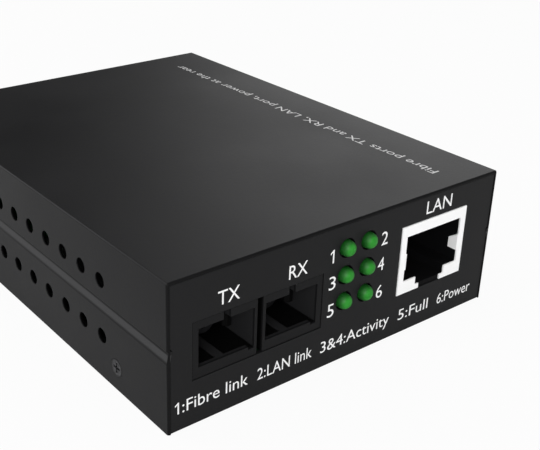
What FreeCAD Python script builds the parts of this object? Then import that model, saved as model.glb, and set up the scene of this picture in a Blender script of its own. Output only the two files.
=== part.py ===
import FreeCAD, Part
import math
import os
import re

import Sketcher

# A fibre media converter: a folded steel tray and cover round one circuit board, with a duplex
# SC optical transceiver, a shielded RJ45 jack and six status lights at the front, and a power
# inlet at the rear. Millimetres. The front faces -Y, +Z is up, and the origin is the middle of
# the casing's underside.

SIZES = {
    # casing
    "casing_width": 71.0,
    "casing_depth": 94.0,
    "casing_height": 26.0,
    "cover_sheet": 0.5,
    "tray_sheet": 0.8,
    "fold_inside": 0.15,
    "fold_outside": 0.35,
    "seam_gap": 0.1,
    "panel_setback": 0.1,
    "skirt_gap": 0.1,
    "cover_arris": 0.25,
    # stiffening groove rolled along both sides of the cover: a steep top and a long slope below
    "groove_z": 14.5,
    "groove_upper": 0.35,
    "groove_lower": 1.95,
    "groove_depth": 0.3,
    # vents in the cover's sides
    "vent_dia": 2.6,
    "vent_pitch": 5.95,
    "vent_inset": 18.65,
    "vent_low_z": 8.14,
    "vent_high_z": 18.24,
    "vent_columns": 10,
    # cover screws and the tray flanges that they go into
    "cover_screw_inset": 14.45,
    "cover_screw_z": 4.3,
    "cover_screw_dia": 2.0,
    "cover_screw_head": 3.2,
    "cover_screw_length": 4.0,
    "cover_screw_cross": 1.9,
    "cross_width": 0.4,
    "cross_depth": 0.5,
    "flange_height": 6.2,
    "flange_inset": 2.5,
    "corner_relief": 1.2,
    # circuit board and what holds it
    "board_side_gap": 2.0,
    "board_end_gap": 2.0,
    "board_sheet": 1.6,
    "board_lift": 5.7,
    "board_corner": 1.5,
    "board_screw_dia": 3.0,
    "board_screw_head": 5.4,
    "board_screw_head_height": 1.8,
    "board_screw_length": 5.0,
    "board_screw_side_inset": 4.4,
    "board_screw_rear_inset": 5.0,
    "board_screw_spread": 38.0,
    "standoff_flats": 5.5,
    "standoff_shank_dia": 4.2,
    "fit_gap": 0.05,
    # duplex SC transceiver
    "module_x": -18.25,
    "module_width": 25.4,
    "module_height": 9.85,
    "module_length": 39.0,
    "module_recess": 0.1,
    "module_lift": 0.05,
    "module_wall": 1.0,
    "module_bevel": 0.7,
    "port_pitch": 12.7,
    "port_width": 10.5,
    "port_roof": 1.4,
    "port_floor": 1.3,
    "port_depth": 12.0,
    "port_back_wall": 2.0,
    "lip_rise": 0.5,
    "lip_depth": 0.8,
    "lip_notch": 1.1,
    "key_slot": 1.3,
    "rib_width": 1.5,
    "rib_offset": 0.75,
    "divider_slot": 1.1,
    "divider_slot_depth": 10.0,
    "sleeve_dia": 4.2,
    "sleeve_bore": 2.5,
    "sleeve_front": 6.0,
    "can_dia": 5.4,
    "can_cap_dia": 4.6,
    "can_length": 4.4,
    "can_flange": 1.1,
    "can_lead_spread": 1.1,
    "latch_front": 5.0,
    "latch_spread": 3.9,
    "latch_arm": 0.7,
    "latch_hook": 0.6,
    "latch_height": 3.6,
    "latch_base": 1.2,
    "latch_base_height": 5.6,
    "peg_dia": 1.9,
    "peg_inset_x": 2.5,
    "peg_inset_y": 10.0,
    "transceiver_board_length": 20.0,
    "transceiver_board_sheet": 1.0,
    "pin_pitch": 2.54,
    "pin_width": 0.6,
    "pin_row_inset": 24.0,
    "pin_tail": 1.2,
    # RJ45 jack
    "jack_x": 20.1,
    "jack_width": 16.1,
    "jack_height": 13.0,
    "jack_length": 21.5,
    "shield_sheet": 0.25,
    "socket_width": 13.4,
    "socket_low": 2.4,
    "socket_high": 11.0,
    "socket_depth": 14.5,
    "latch_channel_width": 7.25,
    "latch_channel_low": 0.9,
    "latch_channel_mouth": 5.35,
    "shield_tab_length": 1.9,
    "shield_tab_low": 4.65,
    "shield_tab_high": 7.75,
    "shield_leg_width": 1.6,
    "shield_leg_length": 3.2,
    "shield_leg_inset": 9.0,
    "contact_pitch": 1.02,
    "contact_width": 0.5,
    "contact_sheet": 0.3,
    "contact_top": 10.6,
    "contact_low": 7.2,
    "contact_nose": 3.6,
    "contact_heel": 11.0,
    "contact_leg_depth": 18.6,
    # status lights
    "led_first_x": -0.66,
    "led_column_pitch": 4.8,
    "led_low_gap": 3.4,
    "led_top_gap": 4.2,
    "led_dia": 3.0,
    "led_length": 5.8,
    "led_stick_out": 1.65,
    "led_hole_gap": 0.2,
    "lead_width": 0.5,
    "lead_spread": 1.27,
    "lead_step": 0.9,
    "lead_tail": 1.0,
    "holder_wall": 0.6,
    "holder_gap": 0.3,
    "holder_length": 6.6,
    # power inlet
    "inlet_side_inset": 15.5,
    "inlet_width": 9.0,
    "inlet_height": 11.0,
    "inlet_length": 14.0,
    "inlet_bevel": 1.5,
    "inlet_axis": 6.5,
    "inlet_collar": 7.8,
    "inlet_collar_length": 1.0,
    "inlet_bore": 6.3,
    "inlet_depth": 10.0,
    "inlet_pin_dia": 2.0,
    "inlet_pin_recess": 1.2,
    "inlet_pin_tip": 0.5,
    "inlet_spring_sheet": 0.3,
    "inlet_spring_width": 2.4,
    "inlet_spring_length": 8.0,
    # parts on the board
    "chip_width": 14.0,
    "chip_height": 1.4,
    "chip_bevel": 0.28,
    "chip_x": 6.0,
    "chip_y": -3.0,
    "magnetics_width": 16.0,
    "magnetics_length": 8.0,
    "magnetics_height": 6.0,
    "magnetics_bevel": 0.5,
    "magnetics_gap": 3.0,
    "memory_width": 5.0,
    "memory_length": 4.0,
    "memory_height": 1.6,
    "memory_bevel": 0.2,
    "coil_width": 6.0,
    "coil_gap": 3.6,
    "coil_height": 3.2,
    "coil_bevel": 0.4,
    "capacitor_dia": 6.3,
    "capacitor_height": 7.7,
    "capacitor_base": 1.2,
    "capacitor_bevel": 0.4,
    "crystal_length": 11.0,
    "crystal_width": 4.6,
    "crystal_height": 3.6,
    "crystal_bevel": 0.92,
    "chip_part_length": 2.0,
    "chip_part_width": 1.25,
    "chip_part_height": 0.6,
    "chip_part_pitch": 3.2,
    "chip_part_count": 6,
    "surface_gap": 0.05,
}

doc = FreeCAD.newDocument("fibre_media_converter")
sheet = doc.addObject("Spreadsheet::Sheet", "dims")
for row, (size_name, size) in enumerate(SIZES.items(), start=1):
    sheet.set("A%d" % row, size_name)
    sheet.set("B%d" % row, str(size))
    sheet.setAlias("B%d" % row, size_name)
doc.recompute()

# Places that several pieces share, as formulas in the sheet's names.
HALF_WIDTH = "(casing_width / 2)"
INNER_HALF = "(casing_width / 2 - cover_sheet - seam_gap)"
PANEL_FACE = "(casing_depth / 2 - panel_setback)"
PANEL_BACK = "(casing_depth / 2 - panel_setback - tray_sheet)"
PANEL_TOP = "(casing_height - cover_sheet - seam_gap)"
BOARD_HALF_WIDTH = "(casing_width / 2 - cover_sheet - board_side_gap)"
BOARD_HALF_LENGTH = "(casing_depth / 2 - board_end_gap)"
BOARD_LOW = "(tray_sheet + board_lift)"
BOARD_TOP = "(tray_sheet + board_lift + board_sheet)"
MODULE_FRONT = "(-casing_depth / 2 + panel_setback + module_recess)"
MODULE_LOW = "(tray_sheet + board_lift + board_sheet + module_lift)"
MODULE_TOP = "(tray_sheet + board_lift + board_sheet + module_lift + module_height)"
PORT_AXIS_Z = "(tray_sheet + board_lift + board_sheet + module_lift + module_height / 2)"
JACK_FRONT = "(-casing_depth / 2)"
JACK_LOW = "(tray_sheet + board_lift + board_sheet)"
LED_TIP = "(-casing_depth / 2 + panel_setback - led_stick_out)"
LED_REAR = "(-casing_depth / 2 + panel_setback - led_stick_out + led_length)"
LED_TOP_Z = "(casing_height - cover_sheet - seam_gap - led_top_gap)"
LED_LOW_Z = "(tray_sheet + board_lift + board_sheet + led_low_gap)"
LED_MIDDLE_Z = "((%s + %s) / 2)" % (LED_TOP_Z, LED_LOW_Z)
INLET_X = "(inlet_side_inset - casing_width / 2)"
INLET_Z = "(tray_sheet + board_lift + board_sheet + inlet_axis)"
INLET_FACE = "(casing_depth / 2 - panel_setback - tray_sheet - seam_gap)"
BORE_END = "(%s + port_depth + port_back_wall)" % MODULE_FRONT
SCREW_CONE = "((cover_screw_head - cover_screw_dia) / 2)"


def linked(formula):
    """The formula with each size name pointed at the sheet."""
    return re.sub(r"[a-z]+(?:_[a-z]+)+", lambda name: "dims." + name.group(0), formula)


def value(formula):
    """What the formula comes to now, in millimetres."""
    return float(sheet.evalExpression(linked(formula)))


def bind(thing, prop, formula):
    """Tie one property of an object to a formula."""
    thing.setExpression(prop, linked(formula))


def new_body(label):
    """An empty body that becomes one node."""
    body = doc.addObject("PartDesign::Body", label)
    body.Label = label
    return body


def origin_feature(body, role):
    """One of the body's own origin planes or axes."""
    for feature in body.Origin.OriginFeatures:
        if feature.Role == role:
            return feature
    raise ValueError("no origin feature called " + role)


def box_loop(left, right, low, high):
    """A rectangle as four corners."""
    return [(left, low), (right, low), (right, high), (left, high)]


def disc(across, up, diameter):
    """A circle, told from a polygon by its three entries."""
    return (across, up, diameter)


def ring(across, up, flats, sides):
    """An even polygon round a point, sized across its flats."""
    corners = []
    for index in range(sides):
        angle = math.pi * (2 * index + 1) / sides
        reach = 0.5 / math.cos(math.pi / sides)
        corners.append(("%s + %.6f * (%s)" % (across, reach * math.cos(angle), flats),
                        "%s + %.6f * (%s)" % (up, reach * math.sin(angle), flats)))
    return corners


def square(across, up, width):
    """A square about a point."""
    half = "(%s) / 2" % width
    return box_loop("%s - %s" % (across, half), "%s + %s" % (across, half),
                    "%s - %s" % (up, half), "%s + %s" % (up, half))


def pins_at(geometry, point, across, up):
    """Constraints that hold one point at two formulas from the sketch's origin."""
    return [
        (Sketcher.Constraint(kind, -1, 1, geometry, point, value(formula)), formula)
        for kind, formula in (("DistanceX", across), ("DistanceY", up))
    ]


def polygon_parts(first, corners):
    """The lines of a closed outline, their joints, and what binds every corner."""
    spots = [FreeCAD.Vector(value(across), value(up), 0) for across, up in corners]
    count = len(corners)
    lines, joints, pins = [], [], []
    for index, (across, up) in enumerate(corners):
        following = (index + 1) % count
        lines.append(Part.LineSegment(spots[index], spots[following]))
        joints.append(Sketcher.Constraint("Coincident", first + index, 2, first + following, 1))
        pins += pins_at(first + index, 1, across, up)
    return lines, joints, pins


def disc_parts(first, across, up, diameter):
    """A circle, and what binds its centre and diameter."""
    centre = FreeCAD.Vector(value(across), value(up), 0)
    circle = Part.Circle(centre, FreeCAD.Vector(0, 0, 1), value(diameter) / 2)
    width = (Sketcher.Constraint("Diameter", first, value(diameter)), diameter)
    return [circle], [], pins_at(first, 3, across, up) + [width]


def draw(body, plane, level, loops):
    """A sketch on one of the body's planes, moved to a level along the row's own axis."""
    sketch = body.newObject("Sketcher::SketchObject", body.Label + "_sketch")
    sketch.AttachmentSupport = (origin_feature(body, plane + "_Plane"), [""])
    sketch.MapMode = "FlatFace"
    sign = "-" if plane == "XZ" else ""
    bind(sketch, "AttachmentOffset.Base.z", "%s(%s)" % (sign, level))
    curves, joints, pins = [], [], []
    for loop in loops:
        if isinstance(loop, tuple):
            found = disc_parts(len(curves), *loop)
        else:
            found = polygon_parts(len(curves), loop)
        curves += found[0]
        joints += found[1]
        pins += found[2]
    sketch.addGeometry(curves, False)
    if joints:
        sketch.addConstraint(joints)
    sketch.addConstraint([constraint for constraint, formula in pins])
    for index, (constraint, formula) in enumerate(pins, start=len(joints)):
        bind(sketch, "Constraints[%d]" % index, formula)
    return sketch


def extrude(body, plane, level, length, loops, cut=False):
    """Add or cut a straight run from a level towards +X, +Y or +Z, whichever the plane faces."""
    sketch = draw(body, plane, level, loops)
    kind = "PartDesign::Pocket" if cut else "PartDesign::Pad"
    feature = body.newObject(kind, body.Label + ("_cut" if cut else "_pad"))
    feature.Profile = sketch
    feature.Reversed = (plane == "XZ") != cut
    bind(feature, "Length", length)
    doc.recompute()
    return feature


def cut(body, plane, level, length, loops):
    """Cut a straight run out of the body."""
    return extrude(body, plane, level, length, loops, cut=True)


def turn(body, plane, level, axis, shift, loop, cut=False):
    """Revolve a half outline about a sketch axis that is moved off the origin by the shift."""
    sketch = draw(body, plane, level, [loop])
    bind(sketch, "AttachmentOffset.Base.x", shift[0])
    bind(sketch, "AttachmentOffset.Base.y", shift[1])
    kind = "PartDesign::Groove" if cut else "PartDesign::Revolution"
    feature = body.newObject(kind, body.Label + "_turn")
    feature.Profile = sketch
    feature.ReferenceAxis = (sketch, [axis])
    feature.Angle = 360
    doc.recompute()
    return feature


def loft(body, plane, sections):
    """Join outlines at several levels with straight bands."""
    sketches = [draw(body, plane, level, [loop]) for level, loop in sections]
    feature = body.newObject("PartDesign::AdditiveLoft", body.Label + "_loft")
    feature.Profile = sketches[0]
    feature.Sections = sketches[1:]
    feature.Ruled = True
    doc.recompute()
    return feature


def edges_at(feature, test):
    """Names of the feature's edges whose two ends and middle all pass the test."""
    names = []
    for number, edge in enumerate(feature.Shape.Edges, start=1):
        middle = edge.valueAt((edge.FirstParameter + edge.LastParameter) / 2)
        points = [vertex.Point for vertex in edge.Vertexes] + [middle]
        if all(test(point) for point in points):
            names.append("Edge%d" % number)
    return names


def dress(body, kind, feature, size, test):
    """Fillet or chamfer the edges that pass the test."""
    dressing = body.newObject("PartDesign::" + kind, body.Label + "_" + kind.lower())
    dressing.Base = (feature, edges_at(feature, test))
    bind(dressing, "Radius" if kind == "Fillet" else "Size", size)
    doc.recompute()
    return dressing


def near(number, formula):
    """Whether a coordinate lies where the formula says."""
    return abs(number - value(formula)) < 1e-4


def mirrored(corners):
    """The same outline on the other side of the sketch's upright axis."""
    return [("-(%s)" % across, up) for across, up in reversed(corners)]


def both_sides(axis, half):
    """A half outline and its mirror image about an upright axis, as one closed outline."""
    right = [("%s + %s" % (axis, across), up) for across, up in half]
    left = [("%s - %s" % (axis, across), up) for across, up in reversed(half)]
    return right + left


UPPER_SLANT = "sqrt(1 / groove_depth ^ 2 + 1 / groove_upper ^ 2)"
LOWER_SLANT = "sqrt(1 / groove_depth ^ 2 + 1 / groove_lower ^ 2)"


def side_line(distance, low, high):
    """The right side's outline, bottom to top, on a surface that far inside the cover."""
    wall = "casing_width / 2 - (%s)" % distance
    rise = "((%s) * (%s - %s) / (1 / groove_upper + 1 / groove_lower))" % (
        distance, UPPER_SLANT, LOWER_SLANT)
    tip = "groove_depth * (1 + (%s) * %s - %s / groove_upper)" % (distance, UPPER_SLANT, rise)
    below = "groove_lower * (1 + (%s) * (%s - 1 / groove_depth))" % (distance, LOWER_SLANT)
    above = "groove_upper * (1 + (%s) * (%s - 1 / groove_depth))" % (distance, UPPER_SLANT)
    return [
        (wall, low),
        (wall, "groove_z - " + below),
        ("casing_width / 2 - " + tip, "groove_z + " + rise),
        (wall, "groove_z + " + above),
        (wall, high),
    ]


def side_signs():
    """Left and right."""
    return ("-", "+")


def cover_screw_places():
    """Sign of X and the Y formula of each cover screw."""
    reach = "(casing_depth / 2 - cover_screw_inset)"
    return [(side, end + reach) for side in side_signs() for end in side_signs()]


def top_cover():
    """Folded top and sides, with a rolled groove, vents and countersunk screw holes."""
    body = new_body("top_cover")
    outer = side_line("0", "skirt_gap", "casing_height")
    inner = side_line("cover_sheet", "skirt_gap", "casing_height - cover_sheet")
    section = outer + mirrored(outer) + mirrored(inner[::-1]) + inner[::-1]
    feature = extrude(body, "XZ", "-casing_depth / 2", "casing_depth", [section])
    side = value(HALF_WIDTH)
    top = value("casing_height")
    sheet_now = value("cover_sheet")
    feature = dress(
        body, "Fillet", feature, "fold_outside",
        lambda p: abs(abs(p.x) - side) < 1e-4 and abs(p.z - top) < 1e-4,
    )
    feature = dress(
        body, "Fillet", feature, "fold_inside",
        lambda p: abs(abs(p.x) - side + sheet_now) < 1e-4
        and abs(p.z - top + sheet_now) < 1e-4,
    )
    end = value("casing_depth / 2")
    fold = value("fold_outside")

    def on_outer_rim(p):
        corner = (max(abs(p.x) - side + fold, 0.0), max(p.z - top + fold, 0.0))
        return abs(abs(p.y) - end) < 1e-4 and math.hypot(*corner) > fold - 1e-3

    dress(body, "Chamfer", feature, "cover_arris", on_outer_rim)
    vents = [ring("-casing_depth / 2 + vent_inset", z, "vent_dia", 12)
             for z in ("vent_low_z", "vent_high_z")]
    first_vents = cut(body, "YZ", "-casing_width / 2 - 1", "casing_width + 2", vents)
    row = body.newObject("PartDesign::LinearPattern", "vent_row")
    row.Originals = [first_vents]
    row.Direction = (origin_feature(body, "Y_Axis"), [""])
    bind(row, "Length", "vent_pitch * (vent_columns - 1)")
    bind(row, "Occurrences", "vent_columns")
    body.Tip = row
    doc.recompute()
    for side_sign, y in cover_screw_places():
        wall = side_sign + "casing_width / 2"
        inwards = "-" if side_sign == "+" else "+"
        sink = [
            (wall, "0"),
            (wall, "cover_screw_head / 2 + fit_gap"),
            (wall + inwards + SCREW_CONE, "cover_screw_dia / 2 + fit_gap"),
            (wall + inwards + SCREW_CONE, "0"),
        ]
        turn(body, "XY", "cover_screw_z", "H_Axis", ("0", y), sink, cut=True)
    return body


def led_places():
    """Number, X and Z of each status light, in reading order from the top left."""
    columns = ("led_first_x", "(led_first_x + led_column_pitch)")
    spots = [(x, z) for z in (LED_TOP_Z, LED_MIDDLE_Z, LED_LOW_Z) for x in columns]
    return [(number, x, z) for number, (x, z) in enumerate(spots, start=1)]


def board_screw_places():
    """X and Y of each screw that holds the board."""
    rear = "(%s - board_screw_rear_inset)" % BOARD_HALF_LENGTH
    return [
        ("%s(%s - board_screw_side_inset)" % (side, BOARD_HALF_WIDTH), y)
        for side in side_signs()
        for y in ("(%s - board_screw_spread)" % rear, rear)
    ]


def bottom_tray():
    """Folded floor, front and rear panels and screw flanges, with every cut-out."""
    body = new_body("bottom_tray")
    core = INNER_HALF + " - corner_relief"
    flange_end = "(casing_depth / 2 - flange_inset)"
    floor = box_loop("-(%s)" % core, core, "-" + PANEL_FACE, PANEL_FACE)
    extrude(body, "XY", "0", "tray_sheet", [floor])
    wings = box_loop("-" + INNER_HALF, INNER_HALF, "-" + flange_end, flange_end)
    extrude(body, "XY", "0", "tray_sheet", [wings])
    edge = side_line("cover_sheet + seam_gap", "0", PANEL_TOP)
    panel = edge + mirrored(edge)
    for level in ("-" + PANEL_FACE, PANEL_BACK):
        extrude(body, "XZ", level, "tray_sheet", [panel])
    flange = box_loop("-" + flange_end, flange_end, "0", "flange_height")
    for level in ("-" + INNER_HALF, INNER_HALF + " - tray_sheet"):
        feature = extrude(body, "YZ", level, "tray_sheet", [flange])
    face = value(PANEL_FACE)
    inner = value(INNER_HALF)
    sheet_now = value("tray_sheet")
    feature = dress(
        body, "Fillet", feature, "fold_outside",
        lambda p: abs(p.z) < 1e-4
        and (abs(abs(p.y) - face) < 1e-4
             or (abs(abs(p.x) - inner) < 1e-4 and abs(p.y) < value(flange_end) + 1e-4)),
    )
    dress(
        body, "Fillet", feature, "fold_inside",
        lambda p: abs(p.z - sheet_now) < 1e-4
        and (abs(abs(p.y) - face + sheet_now) < 1e-4
             or abs(abs(p.x) - inner + sheet_now) < 1e-4),
    )
    module_hole = box_loop(
        "module_x - module_width / 2 - seam_gap", "module_x + module_width / 2 + seam_gap",
        MODULE_LOW + " - seam_gap", MODULE_TOP + " + seam_gap",
    )
    jack_hole = box_loop(
        "jack_x - jack_width / 2 - seam_gap", "jack_x + jack_width / 2 + seam_gap",
        JACK_LOW + " - seam_gap", JACK_LOW + " + jack_height + seam_gap",
    )
    cut(body, "XZ", "-" + PANEL_FACE, "tray_sheet", [module_hole, jack_hole])
    for number, x, z in led_places():
        led_hole = ring(x, z, "led_dia + 2 * led_hole_gap", 20)
        cut(body, "XZ", "-" + PANEL_FACE, "tray_sheet", [led_hole])
    inlet_hole = disc(INLET_X, INLET_Z, "inlet_collar + 2 * seam_gap")
    cut(body, "XZ", PANEL_BACK, "tray_sheet", [inlet_hole])
    rivets = [ring(x, y, "standoff_shank_dia", 12) for x, y in board_screw_places()]
    cut(body, "XY", "0", "tray_sheet", rivets)
    threads = [ring(end + "(casing_depth / 2 - cover_screw_inset)", "cover_screw_z",
                    "cover_screw_dia + 2 * fit_gap", 8) for end in side_signs()]
    cut(body, "YZ", "-casing_width / 2", "casing_width", threads)
    return body


def cover_screws():
    """Four countersunk screws with a cross recess, through the cover into the tray's flanges."""
    body = new_body("cover_screws")
    for side_sign, y in cover_screw_places():
        wall = side_sign + "casing_width / 2"
        inwards = "-" if side_sign == "+" else "+"
        half = [
            (wall, "0"),
            (wall, "cover_screw_head / 2"),
            (wall + inwards + SCREW_CONE, "cover_screw_dia / 2"),
            (wall + inwards + SCREW_CONE, "0"),
        ]
        turn(body, "XY", "cover_screw_z", "H_Axis", ("0", y), half)
    shanks = [ring(end + "(casing_depth / 2 - cover_screw_inset)", "cover_screw_z",
                   "cover_screw_dia", 8) for end in side_signs()]
    shank_length = "cover_screw_length - " + SCREW_CONE
    extrude(body, "YZ", "-casing_width / 2 + " + SCREW_CONE, shank_length, shanks)
    extrude(body, "YZ", "casing_width / 2 - cover_screw_length", shank_length, shanks)
    for end in side_signs():
        y = end + "(casing_depth / 2 - cover_screw_inset)"
        for across, up in (("cover_screw_cross", "cross_width"),
                           ("cross_width", "cover_screw_cross")):
            slot = box_loop(y + " - %s / 2" % across, y + " + %s / 2" % across,
                            "cover_screw_z - %s / 2" % up, "cover_screw_z + %s / 2" % up)
            cut(body, "YZ", "-casing_width / 2", "cross_depth", [slot])
            cut(body, "YZ", "casing_width / 2 - cross_depth", "cross_depth", [slot])
    return body


def standoffs():
    """Four hexagonal standoffs riveted into the tray's floor, bored for the board's screws."""
    body = new_body("standoffs")
    places = board_screw_places()
    extrude(body, "XY", "0", "tray_sheet",
            [ring(x, y, "standoff_shank_dia", 12) for x, y in places])
    extrude(body, "XY", "tray_sheet", "board_lift",
            [ring(x, y, "standoff_flats", 6) for x, y in places])
    cut(body, "XY", "0", BOARD_LOW,
        [ring(x, y, "board_screw_dia + 2 * fit_gap", 8) for x, y in places])
    return body


def board_screws():
    """Four cross-head screws through the board into the standoffs."""
    body = new_body("board_screws")
    places = board_screw_places()
    extrude(body, "XY", BOARD_TOP, "board_screw_head_height",
            [ring(x, y, "board_screw_head", 12) for x, y in places])
    extrude(body, "XY", BOARD_TOP + " - board_screw_length", "board_screw_length",
            [ring(x, y, "board_screw_dia", 8) for x, y in places])
    for across, up in (("cover_screw_cross", "cross_width"),
                       ("cross_width", "cover_screw_cross")):
        slots = [box_loop("%s - %s / 2" % (x, across), "%s + %s / 2" % (x, across),
                          "%s - %s / 2" % (y, up), "%s + %s / 2" % (y, up))
                 for x, y in places]
        cut(body, "XY", BOARD_TOP + " + board_screw_head_height - cross_depth",
            "cross_depth", slots)
    return body


def peg_places():
    """X and Y of the two pegs under the optical housing."""
    y = MODULE_FRONT + " + peg_inset_y"
    return [("module_x" + side + "(module_width / 2 - peg_inset_x)", y) for side in side_signs()]


def pin_places():
    """X and Y of the nine transceiver pins."""
    y = MODULE_FRONT + " + pin_row_inset"
    return [("(module_x + pin_pitch * %d)" % step, y) for step in range(-4, 5)]


def shield_leg_boxes(clearance):
    """Outline on the board of each of the shield's two legs, with some clearance all round."""
    y = JACK_FRONT + " + shield_leg_inset"
    boxes = []
    for side in side_signs():
        outer = "jack_x%s(jack_width / 2 + %s)" % (side, clearance)
        inner = "jack_x%s(jack_width / 2 - shield_sheet - %s)" % (side, clearance)
        left, right = (outer, inner) if side == "-" else (inner, outer)
        boxes.append(box_loop(left, right, "%s - shield_leg_width / 2 - %s" % (y, clearance),
                              "%s + shield_leg_width / 2 + %s" % (y, clearance)))
    return boxes


def lead_places():
    """X, Y and row step of each light's two leads where they reach the board."""
    places = []
    for number, x, z in led_places():
        step = 3 - (number - 1) // 2
        y = LED_REAR + " + lead_step * %d" % step
        for side in side_signs():
            places.append((x + side + "lead_spread", y, step))
    return places


def contact_x(number):
    """X of one of the jack's eight contacts, counted from the left."""
    return "(jack_x + contact_pitch * (%d - 4.5))" % number


def main_board():
    """The circuit board, drilled for its screws, pegs, pins, leads and legs."""
    body = new_body("main_board")
    outline = box_loop("-" + BOARD_HALF_WIDTH, BOARD_HALF_WIDTH,
                       "-" + BOARD_HALF_LENGTH, BOARD_HALF_LENGTH)
    blank = extrude(body, "XY", BOARD_LOW, "board_sheet", [outline])
    half_w = value(BOARD_HALF_WIDTH)
    half_l = value(BOARD_HALF_LENGTH)
    dress(
        body, "Chamfer", blank, "board_corner",
        lambda p: abs(abs(p.x) - half_w) < 1e-4 and abs(abs(p.y) - half_l) < 1e-4,
    )
    screw_holes = [ring(x, y, "board_screw_dia + 4 * fit_gap", 8)
                   for x, y in board_screw_places()]
    peg_holes = [ring(x, y, "peg_dia + 2 * fit_gap", 8) for x, y in peg_places()]
    pin_holes = [square(x, y, "pin_width + 2 * fit_gap") for x, y in pin_places()]
    half_lead = "(lead_width / 2 + fit_gap)"
    lead_holes = [
        box_loop("%s - %s" % (x, half_lead), "%s + %s" % (x, half_lead),
                 "%s - %s" % (y, half_lead), "%s + %s" % (y, half_lead))
        for x, y, step in lead_places()
    ]
    leg_slots = shield_leg_boxes("2 * fit_gap")
    contact_y = JACK_FRONT + " + contact_leg_depth"
    contact_holes = [
        box_loop(contact_x(number) + " - contact_width / 2 - fit_gap",
                 contact_x(number) + " + contact_width / 2 + fit_gap",
                 contact_y + " - fit_gap", contact_y + " + contact_sheet + fit_gap")
        for number in range(1, 9)
    ]
    families = (screw_holes, peg_holes, pin_holes, lead_holes[:6], lead_holes[6:],
                leg_slots, contact_holes)
    for holes in families:
        cut(body, "XY", BOARD_LOW, "board_sheet", holes)
    return body


def port_x(side):
    """X of the left or right optical port's axis."""
    return "(module_x%sport_pitch / 2)" % side


def optical_housing():
    """Moulded duplex SC receptacle with keyed ports, and the shell for the electronics behind."""
    body = new_body("optical_housing")
    left = "module_x - module_width / 2"
    right = "module_x + module_width / 2"
    block = extrude(body, "XZ", MODULE_FRONT, "module_length",
                    [box_loop(left, right, MODULE_LOW, MODULE_TOP)])
    rear = value(MODULE_FRONT + " + module_length")
    dress(
        body, "Chamfer", block, "module_bevel",
        lambda p: abs(p.y - rear) < 1e-4 and p.z > value(MODULE_TOP) - 1e-4,
    )
    roof = MODULE_TOP + " - port_roof"
    floor = MODULE_LOW + " + port_floor"
    lip = floor + " + lip_rise"
    for side in side_signs():
        axis = port_x(side)
        low_x = axis + " - port_width / 2"
        high_x = axis + " + port_width / 2"
        notch_x = high_x + " - lip_notch"
        mouth = [(low_x, lip), (notch_x, lip), (notch_x, floor), (high_x, floor),
                 (high_x, roof), (low_x, roof)]
        cut(body, "XZ", MODULE_FRONT, "lip_depth", [mouth])
        rib_left = axis + " - rib_offset - rib_width / 2"
        rib_right = axis + " - rib_offset + rib_width / 2"
        well = [(low_x, floor), (rib_left, floor), (rib_left, lip), (rib_right, lip),
                (rib_right, floor), (high_x, floor), (high_x, roof), (low_x, roof)]
        cut(body, "XZ", MODULE_FRONT + " + lip_depth", "port_depth - lip_depth", [well])
        key = box_loop(axis + " - key_slot / 2", axis + " + key_slot / 2", roof, MODULE_TOP)
        cut(body, "XZ", MODULE_FRONT, "port_depth", [key])
        cut(body, "XZ", MODULE_FRONT + " + port_depth", "port_back_wall",
            [ring(axis, PORT_AXIS_Z, "sleeve_dia + 2 * fit_gap", 12)])
    slot = box_loop("module_x - divider_slot / 2", "module_x + divider_slot / 2",
                    MODULE_LOW, MODULE_TOP)
    cut(body, "XZ", MODULE_FRONT, "divider_slot_depth", [slot])
    cavity = box_loop(left + " + module_wall", right + " - module_wall",
                      MODULE_LOW, MODULE_TOP + " - module_wall")
    cut(body, "XZ", MODULE_FRONT + " + port_depth + port_back_wall",
        "module_length - port_depth - port_back_wall - module_wall", [cavity])
    pegs = [ring(x, y, "peg_dia", 8) for x, y in peg_places()]
    extrude(body, "XY", BOARD_LOW, "board_sheet + module_lift + port_floor / 2", pegs)
    return body


def latch_clip(label, side):
    """A moulded clip with two hooked arms that hold a plug, and a hole for the sleeve."""
    body = new_body(label)
    axis = port_x(side)
    base_y = MODULE_FRONT + " + port_depth - latch_base"
    front_y = MODULE_FRONT + " + latch_front"
    half = [
        ("(latch_spread + latch_arm)", base_y + " + latch_base"),
        ("(latch_spread + latch_arm)", front_y),
        ("latch_spread", front_y),
        ("(latch_spread - latch_hook)", front_y + " + latch_hook"),
        ("(latch_spread - latch_hook)", front_y + " + 2 * latch_hook"),
        ("latch_spread", front_y + " + 2 * latch_hook"),
        ("latch_spread", base_y),
    ]
    extrude(body, "XY", PORT_AXIS_Z + " - latch_height / 2", "latch_height",
            [both_sides(axis, half)])
    base = box_loop(axis + " - latch_spread", axis + " + latch_spread",
                    PORT_AXIS_Z + " - latch_base_height / 2",
                    PORT_AXIS_Z + " + latch_base_height / 2")
    extrude(body, "XZ", base_y, "latch_base", [base])
    cut(body, "XZ", base_y, "latch_base",
        [ring(axis, PORT_AXIS_Z, "sleeve_dia + 2 * fit_gap", 12)])
    return body


def ferrule_sleeve(label, side):
    """A barrel through the port's back wall that lines up the plug's ferrule."""
    body = new_body(label)
    walls = [ring(port_x(side), PORT_AXIS_Z, across, 16) for across in ("sleeve_dia", "sleeve_bore")]
    extrude(body, "XZ", MODULE_FRONT + " + sleeve_front",
            "port_depth + port_back_wall - sleeve_front", walls)
    return body


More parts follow.
